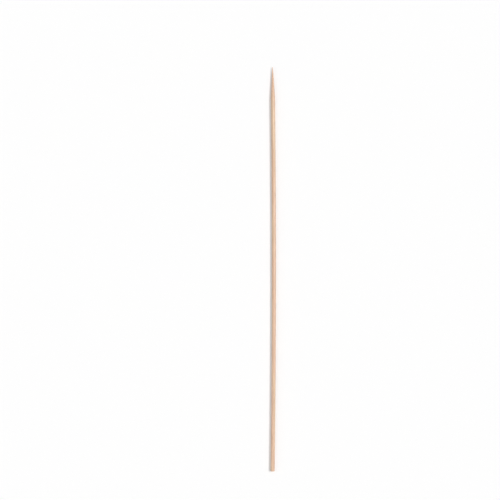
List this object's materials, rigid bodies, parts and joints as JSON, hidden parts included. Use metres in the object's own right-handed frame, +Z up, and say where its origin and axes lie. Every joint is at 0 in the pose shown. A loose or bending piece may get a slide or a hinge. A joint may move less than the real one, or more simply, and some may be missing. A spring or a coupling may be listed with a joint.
{
  "type": "kebab skewer",
  "caption": "Round bamboo skewer with a long ground point at one end and a square-cut butt at the other, for threading and grilling pieces of meat or vegetable",
  "frame": {"origin": "on the ground, under the middle of the bounding box", "axes": "+Y along the stick towards its point, +Z up from the ground it lies on, +X the side that its slight bow bulges to"},
  "size_m": [0.004, 0.3, 0.003],
  "materials": {
    "bamboo": "pale untreated bamboo, tumbled smooth and satin, with fine straight fibres along the stick and darker fibre ends in the cut butt"
  },
  "bodies": {
    "root": {"skewer": "bamboo"}
  },
  "joints": []
}
